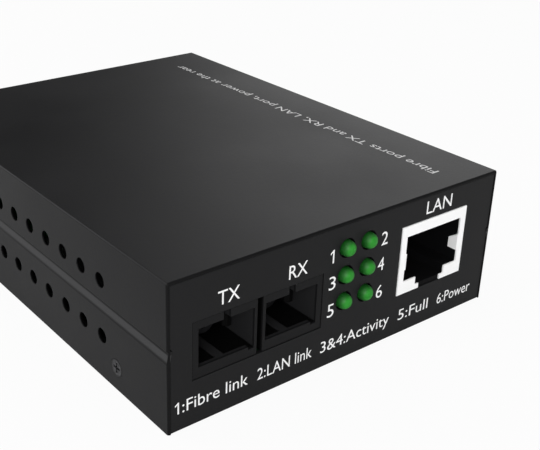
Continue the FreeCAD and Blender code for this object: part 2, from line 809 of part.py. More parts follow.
def diode_can(label, side):
    """A sealed laser or photodiode can seated on the back wall, with its three leads."""
    body = new_body(label)
    axis = port_x(side)
    rear = BORE_END + " + can_length"
    extrude(body, "XZ", BORE_END, "can_length - can_flange",
            [ring(axis, PORT_AXIS_Z, "can_cap_dia", 16)])
    extrude(body, "XZ", rear + " - can_flange", "can_flange",
            [ring(axis, PORT_AXIS_Z, "can_dia", 16)])
    spots = (
        (axis + " - can_lead_spread", PORT_AXIS_Z),
        (axis + " + can_lead_spread", PORT_AXIS_Z),
        (axis, PORT_AXIS_Z + " + can_lead_spread"),
    )
    extrude(body, "XZ", rear, "can_length", [square(x, z, "pin_width") for x, z in spots])
    return body


def transceiver_board():
    """The small board that closes the optical housing's underside."""
    body = new_body("transceiver_board")
    left = "module_x - module_width / 2 + module_wall + fit_gap"
    right = "module_x + module_width / 2 - module_wall - fit_gap"
    rear = MODULE_FRONT + " + module_length - module_wall - fit_gap"
    outline = box_loop(left, right, rear + " - transceiver_board_length", rear)
    extrude(body, "XY", MODULE_LOW, "transceiver_board_sheet", [outline])
    holes = [square(x, y, "pin_width + 2 * fit_gap") for x, y in pin_places()]
    cut(body, "XY", MODULE_LOW, "transceiver_board_sheet", holes)
    return body


def transceiver_pin(number, place):
    """One of the nine pins that join the transceiver to the board."""
    body = new_body("transceiver_pin_%d" % number)
    low = BOARD_LOW + " - pin_tail"
    height = "board_sheet + pin_tail + module_lift + transceiver_board_sheet + pin_width"
    extrude(body, "XY", low, height, [square(place[0], place[1], "pin_width")])
    return body


def jack_opening():
    """The socket's outline with its latch channel, left open at the jack's lower edge."""
    low = JACK_LOW + " + socket_low"
    high = JACK_LOW + " + socket_high"
    channel = JACK_LOW + " + latch_channel_low"
    half = [
        ("latch_channel_mouth / 2", JACK_LOW),
        ("latch_channel_mouth / 2", channel),
        ("latch_channel_width / 2", channel),
        ("latch_channel_width / 2", low),
        ("socket_width / 2", low),
        ("socket_width / 2", high),
    ]
    return both_sides("jack_x", half)


def jack_shield():
    """The jack's plated shell: folded front, top, sides and back, side tabs and two legs."""
    body = new_body("jack_shield")
    left = "jack_x - jack_width / 2"
    right = "jack_x + jack_width / 2"
    top = JACK_LOW + " + jack_height"
    block = extrude(body, "XZ", JACK_FRONT, "jack_length",
                    [box_loop(left, right, JACK_LOW, top)])
    dress(
        body, "Fillet", block, "fold_inside",
        lambda p: near(p.z, top) and (near(p.x, left) or near(p.x, right)),
    )
    inside = box_loop(left + " + shield_sheet", right + " - shield_sheet",
                      JACK_LOW, top + " - shield_sheet")
    cut(body, "XZ", JACK_FRONT + " + shield_sheet", "jack_length - 2 * shield_sheet", [inside])
    cut(body, "XZ", JACK_FRONT, "shield_sheet", [jack_opening()])
    tab_low = JACK_LOW + " + shield_tab_low"
    tab_high = JACK_LOW + " + shield_tab_high"
    for side in side_signs():
        wall = "jack_x%ssocket_width / 2" % side
        tip = "jack_x%s(socket_width / 2 - shield_sheet)" % side
        low_x, high_x = (wall, tip) if side == "-" else (tip, wall)
        extrude(body, "XZ", JACK_FRONT, "shield_tab_length",
                [box_loop(low_x, high_x, tab_low, tab_high)])
    extrude(body, "XY", JACK_LOW + " - shield_leg_length",
            "shield_leg_length + socket_low", shield_leg_boxes("0"))
    return body


def jack_insert():
    """The jack's moulded body: the plug's socket, latch channel and contact comb."""
    body = new_body("jack_insert")
    left = "jack_x - jack_width / 2 + shield_sheet + fit_gap"
    right = "jack_x + jack_width / 2 - shield_sheet - fit_gap"
    top = JACK_LOW + " + jack_height - shield_sheet - fit_gap"
    front = JACK_FRONT + " + shield_sheet"
    extrude(body, "XZ", front, "contact_leg_depth - shield_sheet",
            [box_loop(left, right, JACK_LOW, top)])
    low = JACK_LOW + " + socket_low"
    high = JACK_LOW + " + socket_high"
    channel = JACK_LOW + " + latch_channel_low"
    half = [
        ("latch_channel_width / 2", channel),
        ("latch_channel_width / 2", low),
        ("socket_width / 2", low),
        ("socket_width / 2", high),
    ]
    cut(body, "XZ", front, "socket_depth - shield_sheet", [both_sides("jack_x", half)])
    for number in range(1, 9):
        slit = box_loop(contact_x(number) + " - contact_width / 2 - fit_gap",
                        contact_x(number) + " + contact_width / 2 + fit_gap",
                        JACK_LOW + " + contact_top - contact_sheet - fit_gap",
                        JACK_LOW + " + contact_top + fit_gap")
        cut(body, "XZ", JACK_FRONT + " + socket_depth", "contact_leg_depth - socket_depth",
            [slit])
    return body


def jack_contact(number):
    """One sprung contact: up from the board, forward under the roof, then back and down."""
    body = new_body("jack_contact_%d" % number)
    leg = JACK_FRONT + " + contact_leg_depth"
    nose = JACK_FRONT + " + contact_nose"
    heel = JACK_FRONT + " + contact_heel"
    top = JACK_LOW + " + contact_top"
    foot = BOARD_LOW + " - pin_tail"
    side_view = [
        (leg + " + contact_sheet", foot),
        (leg + " + contact_sheet", top),
        (nose, top),
        (nose + " - contact_sheet", top + " - contact_sheet"),
        (nose + " - contact_sheet", top + " - 2 * contact_sheet"),
        (heel, JACK_LOW + " + contact_low"),
        (heel + " + contact_sheet", JACK_LOW + " + contact_low"),
        (heel + " + contact_sheet", JACK_LOW + " + contact_low + contact_sheet"),
        (nose, top + " - 2 * contact_sheet"),
        (nose, top + " - contact_sheet"),
        (leg, top + " - contact_sheet"),
        (leg, foot),
    ]
    extrude(body, "YZ", contact_x(number) + " - contact_width / 2", "contact_width",
            [side_view])
    return body


def led_holder():
    """The moulded block that carries the six lights at right angles to the board."""
    body = new_body("led_holder")
    reach = "led_dia / 2 + fit_gap + 2 * holder_wall"
    left = "led_first_x - (%s)" % reach
    right = "led_first_x + led_column_pitch + " + reach
    top = "%s + %s" % (LED_TOP_Z, reach)
    front = "(-%s + holder_gap)" % PANEL_BACK
    extrude(body, "XZ", front, "holder_length", [box_loop(left, right, BOARD_TOP, top)])
    bores = [ring(x, z, "led_dia + 2 * fit_gap", 12) for number, x, z in led_places()]
    cut(body, "XZ", front, "%s - %s" % (LED_REAR, front), bores)
    pocket = box_loop(left + " + holder_wall", right + " - holder_wall",
                      BOARD_TOP, top + " - holder_wall")
    cut(body, "XZ", LED_REAR, "holder_length", [pocket])
    return body


def status_led(number, x, z):
    """One domed light with two leads bent down to the board."""
    body = new_body("status_led_%d" % number)
    dome = [math.radians(degrees) for degrees in (15, 40, 65, 90)]
    sections = []
    for angle in dome:
        back = math.cos(dome[0]) - math.cos(angle)
        level = "%s + led_dia / 2 * %.6f" % (LED_TIP, back)
        sections.append((level, ring(x, z, "led_dia * %.6f" % math.sin(angle), 16)))
    loft(body, "XZ", sections)
    shoulder = sections[-1][0]
    extrude(body, "XZ", shoulder, "%s - (%s)" % (LED_REAR, shoulder), [ring(x, z, "led_dia", 16)])
    for lead_x, lead_y, step in lead_places()[2 * number - 2:2 * number]:
        half = "lead_width / 2"
        bend = [
            (LED_REAR, "%s - %s" % (z, half)),
            ("%s - %s" % (lead_y, half), "%s - %s" % (z, half)),
            ("%s - %s" % (lead_y, half), BOARD_LOW + " - lead_tail"),
            ("%s + %s" % (lead_y, half), BOARD_LOW + " - lead_tail"),
            ("%s + %s" % (lead_y, half), "%s + %s" % (z, half)),
            (LED_REAR, "%s + %s" % (z, half)),
        ]
        extrude(body, "YZ", "%s - %s" % (lead_x, half), "lead_width", [bend])
    return body


def inlet_body():
    """The power inlet's moulded block with a round collar through the rear panel."""
    body = new_body("power_inlet_body")
    block = extrude(
        body, "XZ", INLET_FACE + " - inlet_length", "inlet_length",
        [box_loop(INLET_X + " - inlet_width / 2", INLET_X + " + inlet_width / 2",
                  BOARD_TOP, BOARD_TOP + " + inlet_height")],
    )
    top = value(BOARD_TOP + " + inlet_height")
    dress(
        body, "Chamfer", block, "inlet_bevel",
        lambda p: abs(p.z - top) < 1e-4 and abs(abs(p.x - value(INLET_X))
                                                - value("inlet_width / 2")) < 1e-4,
    )
    extrude(body, "XZ", INLET_FACE, "inlet_collar_length",
            [disc(INLET_X, INLET_Z, "inlet_collar")])
    cut(body, "XZ", INLET_FACE + " + inlet_collar_length - inlet_depth", "inlet_depth",
        [disc(INLET_X, INLET_Z, "inlet_bore")])
    cut(body, "XZ", INLET_FACE + " - inlet_length", "inlet_length",
        [ring(INLET_X, INLET_Z, "inlet_pin_dia + 2 * fit_gap", 12)])
    return body


def inlet_pin():
    """The inlet's centre pin, with a rounded tip and a solder tail behind."""
    body = new_body("power_inlet_pin")
    rear = INLET_FACE + " + inlet_collar_length - inlet_pin_recess"
    half = [
        ("0", INLET_FACE + " - inlet_length"),
        ("inlet_pin_dia / 2", INLET_FACE + " - inlet_length"),
        ("inlet_pin_dia / 2", rear + " - inlet_pin_tip"),
        ("inlet_pin_dia / 2 - inlet_pin_tip", rear),
        ("0", rear),
    ]
    turn(body, "XY", INLET_Z, "V_Axis", (INLET_X, "0"), half)
    return body


def inlet_spring():
    """The sprung leaf under the inlet's bore that touches the plug's sleeve."""
    body = new_body("power_inlet_spring")
    low = "%s - sqrt((inlet_bore / 2) ^ 2 - (inlet_spring_width / 2) ^ 2)" % INLET_Z
    start = INLET_FACE + " + inlet_collar_length - inlet_depth"
    crown = start + " + inlet_depth / 2"
    end = start + " + inlet_spring_length"
    leaf = [
        (start, low + " + fit_gap"),
        (start, low + " + fit_gap + inlet_spring_sheet"),
        (crown, low + " + fit_gap + 2 * inlet_spring_sheet"),
        (end, low + " + fit_gap + inlet_spring_sheet"),
        (end, low + " + fit_gap"),
        (crown, low + " + fit_gap + inlet_spring_sheet"),
    ]
    extrude(body, "YZ", INLET_X + " - inlet_spring_width / 2", "inlet_spring_width", [leaf])
    return body


def block_on_board(label, x, y, width, length, height, chamfer):
    """A moulded component as a block that sits on the board, its top edges chamfered."""
    body = new_body(label)
    low = BOARD_TOP + " + surface_gap"
    outline = box_loop("%s - %s / 2" % (x, width), "%s + %s / 2" % (x, width),
                       "%s - %s / 2" % (y, length), "%s + %s / 2" % (y, length))
    block = extrude(body, "XY", low, height, [outline])
    top = value("%s + %s" % (low, height))
    dress(body, "Chamfer", block, chamfer, lambda p: abs(p.z - top) < 1e-4)
    return body


def capacitor(number, x, y):
    """An electrolytic capacitor: a rolled can on a square moulded foot."""
    body = new_body("capacitor_%d" % number)
    low = BOARD_TOP + " + surface_gap"
    top = low + " + capacitor_height"
    extrude(body, "XY", low, "capacitor_base", [square(x, y, "capacitor_dia")])
    can = extrude(body, "XY", low + " + capacitor_base", "capacitor_height - capacitor_base",
                  [ring(x, y, "capacitor_dia", 16)])
    dress(body, "Chamfer", can, "capacitor_bevel", lambda p: near(p.z, top))
    return body


def chip_parts(label, x, y):
    """A row of small surface-mounted parts, all alike."""
    body = new_body(label)
    loops = [
        box_loop("%s - chip_part_length / 2" % x, "%s + chip_part_length / 2" % x,
                 "%s + chip_part_pitch * %d - chip_part_width / 2" % (y, step),
                 "%s + chip_part_pitch * %d + chip_part_width / 2" % (y, step))
        for step in range(int(value("chip_part_count")))
    ]
    extrude(body, "XY", BOARD_TOP + " + surface_gap", "chip_part_height", loops)
    return body


def build_parts():
    """Every node of the converter."""
    parts = [top_cover(), bottom_tray(), cover_screws(), standoffs(), board_screws()]
    parts += [main_board(), optical_housing(), transceiver_board()]
    for side, name in (("-", "tx"), ("+", "rx")):
        parts.append(latch_clip(name + "_latch_clip", side))
        parts.append(ferrule_sleeve(name + "_ferrule_sleeve", side))
    parts += [diode_can("tx_laser_can", "-"), diode_can("rx_photodiode_can", "+")]
    for number, place in enumerate(pin_places(), start=1):
        parts.append(transceiver_pin(number, place))
    parts += [jack_shield(), jack_insert()]
    parts += [jack_contact(number) for number in range(1, 9)]
    parts.append(led_holder())
    parts += [status_led(number, x, z) for number, x, z in led_places()]
    parts += [inlet_body(), inlet_pin(), inlet_spring()]
    magnetics_y = "(%s + jack_length + magnetics_gap + magnetics_length / 2)" % JACK_FRONT
    power_y = "(%s + module_length + 2 * coil_width)" % MODULE_FRONT
    parts += [
        block_on_board("converter_chip", "chip_x", "chip_y", "chip_width", "chip_width",
                       "chip_height", "chip_bevel"),
        block_on_board("isolation_transformer", "jack_x", magnetics_y, "magnetics_width",
                       "magnetics_length", "magnetics_height", "magnetics_bevel"),
        block_on_board("memory_chip", "chip_x", "(chip_y + chip_width)", "memory_width",
                       "memory_length", "memory_height", "memory_bevel"),
        block_on_board("regulator", "module_x", power_y, "memory_width", "memory_length",
                       "memory_height", "memory_bevel"),
        block_on_board("power_coil", "(module_x + coil_width + coil_gap)", power_y, "coil_width",
                       "coil_width", "coil_height", "coil_bevel"),
        block_on_board("crystal", "(chip_x + chip_width)", "(chip_y + chip_width)",
                       "crystal_width", "crystal_length", "crystal_height",
                       "crystal_bevel"),
    ]
    for number, x in enumerate(("(module_x + 2 * coil_width + coil_gap)", "chip_x"), start=1):
        parts.append(capacitor(number, x, "(%s - inlet_length)" % INLET_FACE))
    parts.append(chip_parts("chip_resistors", "(jack_x + magnetics_width / 4)", "chip_width"))
    parts.append(chip_parts("chip_capacitors", "(module_x + coil_width)", "chip_width"))
    return parts


def check(parts):
    """Stop if any object failed or any node is empty, open or invalid."""
    for thing in doc.Objects:
        if "Invalid" in thing.State or "Error" in thing.State:
            raise RuntimeError("failed object: " + thing.Label)
    for part in parts:
        if part.Shape.isNull() or not part.Shape.isValid() or not part.Shape.Solids:
            raise RuntimeError("bad shape: " + part.Label)


def write(parts):
    """One STEP file for each node, named after it."""
    os.makedirs("parts", exist_ok=True)
    for part in parts:
        part.Shape.exportStep(os.path.join("parts", part.Label + ".step"))


parts_built = build_parts()
doc.recompute()
check(parts_built)
write(parts_built)
print("%d nodes written" % len(parts_built))
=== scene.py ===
import math

import bmesh
import bpy
from mathutils import Matrix, Vector


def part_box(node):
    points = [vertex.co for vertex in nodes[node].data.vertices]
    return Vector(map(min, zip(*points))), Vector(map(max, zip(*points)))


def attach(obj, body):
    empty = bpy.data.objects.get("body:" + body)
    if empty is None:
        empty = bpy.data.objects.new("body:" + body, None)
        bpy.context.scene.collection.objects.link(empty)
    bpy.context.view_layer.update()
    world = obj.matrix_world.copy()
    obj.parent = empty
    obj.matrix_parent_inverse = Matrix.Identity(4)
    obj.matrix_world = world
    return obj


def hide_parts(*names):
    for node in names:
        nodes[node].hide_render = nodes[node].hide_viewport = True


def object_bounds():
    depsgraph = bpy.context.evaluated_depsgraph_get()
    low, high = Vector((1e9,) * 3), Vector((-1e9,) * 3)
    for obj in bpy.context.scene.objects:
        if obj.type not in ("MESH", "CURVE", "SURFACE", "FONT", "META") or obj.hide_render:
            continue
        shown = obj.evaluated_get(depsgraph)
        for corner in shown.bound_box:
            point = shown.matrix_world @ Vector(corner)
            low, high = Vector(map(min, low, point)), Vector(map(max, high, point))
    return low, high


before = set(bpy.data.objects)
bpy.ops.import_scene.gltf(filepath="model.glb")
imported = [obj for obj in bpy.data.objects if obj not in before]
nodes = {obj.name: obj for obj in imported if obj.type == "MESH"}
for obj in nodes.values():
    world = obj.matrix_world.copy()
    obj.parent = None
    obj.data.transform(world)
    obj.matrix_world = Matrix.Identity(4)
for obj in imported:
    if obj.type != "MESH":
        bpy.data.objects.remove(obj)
cad_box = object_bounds()

MM = 0.001
HALF_WIDTH, HALF_DEPTH, HEIGHT = (cad_box[1].x / MM, cad_box[1].y / MM, cad_box[1].z / MM)

# Places on the part where the painted light and shade change, in millimetres.
PORT_FLOOR = 9.45
SLOPE_LOW, SLOPE_HIGH = 12.75, 14.2
COVER_SCREW_Y, COVER_SCREW_Z = 32.55, 4.3

# The shield's inner tab: how far from its middle it starts and ends, its top, and what comes off.
TAB_REACH = (6.3, 6.8)
TAB_TOP = 15.85
TAB_TRIM = 1.15


# ---------------------------------------------------------------- camera
# The view measured on the casing: azimuth and elevation of the line of sight, and its roll.
AZIMUTH = math.radians(-36.95)
ELEVATION = math.radians(25.13)
ROLL = math.radians(-0.67)
EYE = Vector((-99.52, -143.32, 90.76)) * MM

back = Vector((math.sin(AZIMUTH) * math.cos(ELEVATION),
               -math.cos(AZIMUTH) * math.cos(ELEVATION),
               math.sin(ELEVATION)))
right = (-back).cross(Vector((0, 0, 1))).normalized()
down = (-back).cross(right).normalized()
turned_right = right * math.cos(ROLL) + down * math.sin(ROLL)
turned_down = down * math.cos(ROLL) - right * math.sin(ROLL)
lens = bpy.data.cameras.new("camera")
lens.lens = 63.99
lens.sensor_width = 36.0
lens.shift_x = 0.10
lens.shift_y = -0.0185
lens.clip_start = 0.01
lens.clip_end = 50.0
camera = bpy.data.objects.new("camera", lens)
turn = Matrix((turned_right, -turned_down, back)).transposed()
camera.matrix_world = Matrix.Translation(EYE) @ turn.to_4x4()
bpy.context.scene.collection.objects.link(camera)
bpy.context.scene.camera = camera
bpy.context.scene.view_settings.view_transform = "Standard"


# ---------------------------------------------------------------- materials
def srgb(red, green, blue):
    """A colour given as it should look, 0 to 255, as the shader's own linear colour."""
    levels = [v / 255 for v in (red, green, blue)]
    linear = [v / 12.92 if v <= 0.04045 else ((v + 0.055) / 1.055) ** 2.4 for v in levels]
    return (*linear, 1.0)


class Paint:
    """One procedural material, with short names for the nodes that it is made of."""

    def __init__(self, name, **sockets):
        self.material = bpy.data.materials.new(name)
        self.material.use_nodes = True
        self.tree = self.material.node_tree
        self.shader = self.tree.nodes["Principled BSDF"]
        self.place = None
        for socket, number in sockets.items():
            self.shader.inputs[socket.replace("_", " ")].default_value = number

    def add(self, kind, **settings):
        node = self.tree.nodes.new("ShaderNode" + kind)
        for key, setting in settings.items():
            setattr(node, key, setting)
        return node

    def feed(self, socket, source):
        if isinstance(source, bpy.types.NodeSocket):
            self.tree.links.new(source, socket)
        else:
            socket.default_value = source

    def where(self):
        """The place on the part, in millimetres."""
        if self.place is None:
            coordinates = self.add("TexCoord")
            scale = self.add("VectorMath", operation="SCALE")
            self.feed(scale.inputs[0], coordinates.outputs["Object"])
            scale.inputs["Scale"].default_value = 1000.0
            self.place = scale.outputs[0]
        return self.place

    def axis(self, name):
        split = self.add("SeparateXYZ")
        self.feed(split.inputs[0], self.where())
        return split.outputs[name]

    def stretched(self, x, y, z):
        scaled = self.add("VectorMath", operation="MULTIPLY")
        self.feed(scaled.inputs[0], self.where())
        scaled.inputs[1].default_value = (x, y, z)
        return scaled.outputs[0]

    def noise(self, size, detail=2.0, rough=0.5, at=None):
        """Soft noise whose blobs are about this many millimetres across."""
        node = self.add("TexNoise")
        self.feed(node.inputs["Vector"], at or self.where())
        node.inputs["Scale"].default_value = 1.0 / size
        node.inputs["Detail"].default_value = detail
        node.inputs["Roughness"].default_value = rough
        return node.outputs["Fac"]

    def seams(self, size):
        """How far a point is from the seams between cells of about this many millimetres."""
        node = self.add("TexVoronoi", feature="DISTANCE_TO_EDGE")
        self.feed(node.inputs["Vector"], self.where())
        node.inputs["Scale"].default_value = 1.0 / size
        return node.outputs["Distance"]

    def sum(self, operation, first, second=0.0, third=None):
        node = self.add("Math", operation=operation)
        self.feed(node.inputs[0], first)
        self.feed(node.inputs[1], second)
        if third is not None:
            self.feed(node.inputs[2], third)
        return node.outputs[0]

    def span(self, source, low, high, to_low=0.0, to_high=1.0, smooth=False):
        """Carry a number from one range to another, held at the ends."""
        node = self.add("MapRange", interpolation_type="SMOOTHSTEP" if smooth else "LINEAR")
        self.feed(node.inputs["Value"], source)
        node.inputs["From Min"].default_value = low
        node.inputs["From Max"].default_value = high
        node.inputs["To Min"].default_value = to_low
        node.inputs["To Max"].default_value = to_high
        return node.outputs["Result"]

    def blend(self, factor, first, second):
        node = self.add("Mix", data_type="RGBA")
        self.feed(node.inputs[0], factor)
        self.feed(node.inputs[6], first)
        self.feed(node.inputs[7], second)
        return node.outputs[2]

    def colour(self, source):
        self.feed(self.shader.inputs["Base Color"], source)

    def rough(self, source):
        self.feed(self.shader.inputs["Roughness"], source)

    def relief(self, height, depth, strength=1.0, edge=0.0):
        """Bump the surface by a height of 0 to 1, this many millimetres deep, over softened edges."""
        bump = self.add("Bump")
        bump.inputs["Strength"].default_value = strength
        bump.inputs["Distance"].default_value = depth * MM
        self.feed(bump.inputs["Height"], height)
        if edge:
            bevel = self.add("Bevel", samples=4)
            bevel.inputs["Radius"].default_value = edge * MM
            self.feed(bump.inputs["Normal"], bevel.outputs[0])
        self.feed(self.shader.inputs["Normal"], bump.outputs[0])


def casing_coat(name, folded=False):
    """Black powder coat: a low sheen over the fine orange peel of the baked paint.

    On the folded cover the groove's slope carries a painted highlight between two thin lines of
    painted shade, and the inside and the outer parts of the front and rear edge faces are painted
    near black as painted shade."""
    paint = Paint(name, IOR=1.24)
    broad = paint.noise(30.0, detail=3.0)
    grains = paint.noise(0.35, detail=3.0, rough=0.6)
    base = paint.blend(broad, srgb(18, 18, 19), srgb(24, 24, 25))
    speck = paint.span(grains, 0.56, 0.74)
    shade = paint.blend(paint.sum("MULTIPLY", speck, 0.3), base, srgb(38, 38, 39))
    if folded:
        across = paint.sum("ABSOLUTE", paint.axis("X"))
        up = paint.axis("Z")
        # Painted shade: the outer parts of the front and rear edge faces are darkened at half strength,
        # as the dark seam line under the cover's edge.
        end = paint.span(paint.sum("ABSOLUTE", paint.axis("Y")),
                         HALF_DEPTH - 0.22, HALF_DEPTH - 0.16)
        outer = paint.sum("MAXIMUM",
                          paint.span(across, HALF_WIDTH - 0.6, HALF_WIDTH - 0.45),
                          paint.span(up, HEIGHT - 0.7, HEIGHT - 0.55))
        shaded_rim = paint.sum("MULTIPLY", end, outer)
        off_shaded_rim = paint.sum("SUBTRACT", 1.0, shaded_rim)
        # Painted highlight: the groove's lower slope is painted paler, standing in for the light it
        # catches.
        slope = paint.sum("MULTIPLY", paint.span(up, SLOPE_LOW, SLOPE_LOW + 0.5, smooth=True),
                          paint.span(up, SLOPE_HIGH - 0.12, SLOPE_HIGH, 1.0, 0.0))
        painted_slope_highlight = paint.blend(broad, srgb(50, 50, 51), srgb(57, 57, 58))
        shade = paint.blend(paint.sum("MULTIPLY", slope, off_shaded_rim), shade, painted_slope_highlight)
        # Painted shade: thin dark lines just below and just above the painted highlight, as the shadow
        # of the groove's lips.
        painted_crease_shade = paint.sum("MAXIMUM", *(
            paint.span(paint.sum("ABSOLUTE", paint.sum("SUBTRACT", up, level)), 0.1, 0.3, 0.5, 0.0)
            for level in (SLOPE_LOW - 0.1, SLOPE_HIGH + 0.1)))
        shade = paint.blend(paint.sum("MULTIPLY", painted_crease_shade, off_shaded_rim), shade, srgb(8, 8, 8))
        # Painted shade: the cover's inside, clear of the groove, is painted near black with its sheen
        # turned down.
        below_roof = paint.span(up, HEIGHT - 0.5, HEIGHT - 0.45, 1.0, 0.0)
        sunk = paint.span(across, HALF_WIDTH - 0.25, HALF_WIDTH - 0.1, 1.0, 0.0)
        from_slope = paint.sum("ABSOLUTE",
                               paint.sum("SUBTRACT", up, (SLOPE_LOW + SLOPE_HIGH) / 2))
        clear = paint.sum("GREATER_THAN", from_slope, (SLOPE_HIGH - SLOPE_LOW) / 2 + 0.5)
        inner = paint.sum("MULTIPLY", paint.sum("MULTIPLY", sunk, below_roof), clear)
        painted_shade_mask = paint.sum("MAXIMUM", paint.sum("MULTIPLY", inner, off_shaded_rim),
                           paint.sum("MULTIPLY", shaded_rim, 0.5))
        shade = paint.blend(painted_shade_mask, shade, srgb(4, 4, 4))
        paint.feed(paint.shader.inputs["Specular IOR Level"],
                   paint.span(painted_shade_mask, 0.0, 1.0, 0.5, 0.05))
    paint.colour(shade)
    paint.rough(paint.sum("ADD", paint.span(broad, 0.3, 0.7, 0.42, 0.50),
                          paint.span(grains, 0.2, 0.8, -0.03, 0.03)))
    peel = paint.sum("ADD", paint.sum("MULTIPLY", paint.noise(0.9, detail=1.0), 0.6),
                     paint.sum("MULTIPLY", grains, 0.4))
    paint.relief(peel, 0.02, strength=0.6, edge=0.12)
    return paint.material


def moulded(name, dark, light, rough, ior=1.46, grain=0.25, depth=0.008, edge=0.12):
    """Moulded plastic: an even eroded-tool texture, with faint flow marks."""
    paint = Paint(name, IOR=ior)
    flow = paint.noise(6.0, detail=3.0, at=paint.stretched(1.0, 0.3, 1.0))
    texture = paint.noise(grain, detail=2.0)
    paint.colour(paint.blend(flow, dark, light))
    paint.rough(paint.sum("ADD", paint.span(flow, 0.3, 0.7, rough - 0.05, rough + 0.05),
                          paint.span(texture, 0.2, 0.8, -0.04, 0.04)))
    paint.relief(texture, depth, strength=0.7, edge=edge)
    return paint.material


def screw_finish():
    """Blackened screw heads: worn paler in patches, with a ring of painted shade where the head's edge
    meets its sink.
    """
    paint = Paint("screw_steel", Metallic=0.8)
    wear = paint.noise(0.45, detail=3.0, rough=0.7)
    from_y = paint.sum("SUBTRACT", paint.sum("ABSOLUTE", paint.axis("Y")), COVER_SCREW_Y)
    from_z = paint.sum("SUBTRACT", paint.axis("Z"), COVER_SCREW_Z)
    away = paint.sum("SQRT", paint.sum("ADD", paint.sum("POWER", paint.sum("ABSOLUTE", from_y), 2.0),
                                       paint.sum("POWER", paint.sum("ABSOLUTE", from_z), 2.0)))
    # Painted shade: a dark ring round the edge of each head, as the shadow where it sits in its sink.
    shaded_rim = paint.span(away, 1.25, 1.5)
    face = paint.blend(paint.span(wear, 0.38, 0.62), srgb(34, 34, 36), srgb(84, 84, 86))
    paint.colour(paint.blend(shaded_rim, face, srgb(10, 10, 11)))
    paint.rough(paint.span(wear, 0.3, 0.7, 0.36, 0.52))
    paint.relief(wear, 0.03, strength=0.6, edge=0.08)
    return paint.material


def port_moulding():
    """The optical housing's plastic, with painted light on the ports' walls and ribs, and painted
    shade, near black, on their floors, far inside and in the slot between the ports.
    """
    paint = Paint("port_black", IOR=1.22)
    texture = paint.noise(0.3, detail=2.0)
    face = paint.blend(texture, srgb(14, 14, 15), srgb(20, 20, 21))
    painted_lit_wall = paint.blend(texture, srgb(31, 31, 32), srgb(38, 38, 39))
    low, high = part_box("optical_housing")
    inside = paint.span(paint.axis("Y"), low.y / MM + 0.3, low.y / MM + 0.5)
    # Painted light above the port floors, on walls and ribs; painted shadow on the floors themselves.
    raised = paint.span(paint.axis("Z"), PORT_FLOOR + 0.15, PORT_FLOOR + 0.3)
    # Painted shade: near black further than about 7 mm into the ports and in the narrow slot between
    # them.
    deep = paint.span(paint.axis("Y"), low.y / MM + 7.0, low.y / MM + 8.5)
    middle = paint.sum("LESS_THAN", paint.sum("ABSOLUTE", paint.sum(
        "SUBTRACT", paint.axis("X"), (low.x + high.x) / 2 / MM)), 0.7)
    dark = paint.sum("MAXIMUM", deep, middle)
    lit_and_shaded_hollow = paint.blend(dark, paint.blend(raised, srgb(6, 6, 6), painted_lit_wall), srgb(4, 4, 4))
    paint.colour(paint.blend(inside, face, lit_and_shaded_hollow))
    paint.rough(paint.span(texture, 0.2, 0.8, 0.44, 0.52))
    paint.relief(texture, 0.008, strength=0.7, edge=0.12)
    return paint.material


def metal(name, dark, light, low, high, along=(1.0, 1.0, 1.0), size=0.5, depth=0.004, edge=0.1,
          metallic=1.0):
    """Plated or drawn metal: rolling marks along one axis, and duller patches of handling."""
    paint = Paint(name, Metallic=metallic)
    marks = paint.noise(size, detail=4.0, rough=0.6, at=paint.stretched(*along))
    patches = paint.noise(3.0, detail=3.0)
    paint.colour(paint.blend(paint.sum("MULTIPLY", paint.sum("ADD", marks, patches), 0.5), dark, light))
    paint.rough(paint.sum("ADD", paint.span(patches, 0.3, 0.7, low, high),
                          paint.span(marks, 0.2, 0.8, -0.03, 0.03)))
    paint.relief(marks, depth, strength=0.5, edge=edge)
    return paint.material


def lens_green(name, across, up):
    """Diffused green lens: milky resin, with painted shade darkening it from the crown out to its root.
    """
    paint = Paint(name, IOR=1.3, Subsurface_Weight=0.2, Subsurface_Scale=0.0008)
    paint.shader.inputs["Subsurface Radius"].default_value = (0.5, 1.0, 0.4)
    away = paint.sum("SQRT", paint.sum("ADD",
                     paint.sum("POWER", paint.sum("SUBTRACT", paint.axis("X"), across), 2.0),
                     paint.sum("POWER", paint.sum("SUBTRACT", paint.axis("Z"), up), 2.0)))
    # Painted shade: darker towards the root, where the lens sits in its hole in the panel.
    shaded_rim = paint.span(away, 0.7, 1.5, smooth=True)
    milk = paint.noise(0.5, detail=2.0)
    crown = paint.blend(milk, srgb(32, 120, 34), srgb(40, 136, 40))
    paint.colour(paint.blend(shaded_rim, crown, srgb(14, 66, 18)))
    paint.rough(paint.span(milk, 0.3, 0.7, 0.42, 0.50))
    paint.relief(milk, 0.004, strength=0.4)
    return paint.material


def printing_ink(name, thin, full):
    """Screen-printed ink: slightly uneven cover, with a soft satin face."""
    paint = Paint(name, IOR=1.4)
    cover = paint.noise(0.18, detail=2.0)
    paint.colour(paint.blend(cover, thin, full))
    paint.rough(paint.span(cover, 0.3, 0.7, 0.5, 0.62))
    paint.relief(cover, 0.006, strength=0.5)
    return paint.material


def board_mask():
    """Solder mask over copper: tracks and pours stand out a shade lighter."""
    paint = Paint("board_mask", IOR=1.5, Coat_Weight=0.3)
    tracks = paint.seams(3.2)
    copper = paint.span(tracks, 0.05, 0.09, 1.0, 0.0)
    glass = paint.noise(0.25, detail=2.0)
    base = paint.blend(glass, srgb(14, 58, 30), srgb(20, 70, 38))
    paint.colour(paint.blend(copper, base, srgb(38, 104, 56)))
    paint.rough(paint.span(glass, 0.3, 0.7, 0.28, 0.40))
    paint.relief(copper, 0.03, strength=0.5, edge=0.1)
    return paint.material


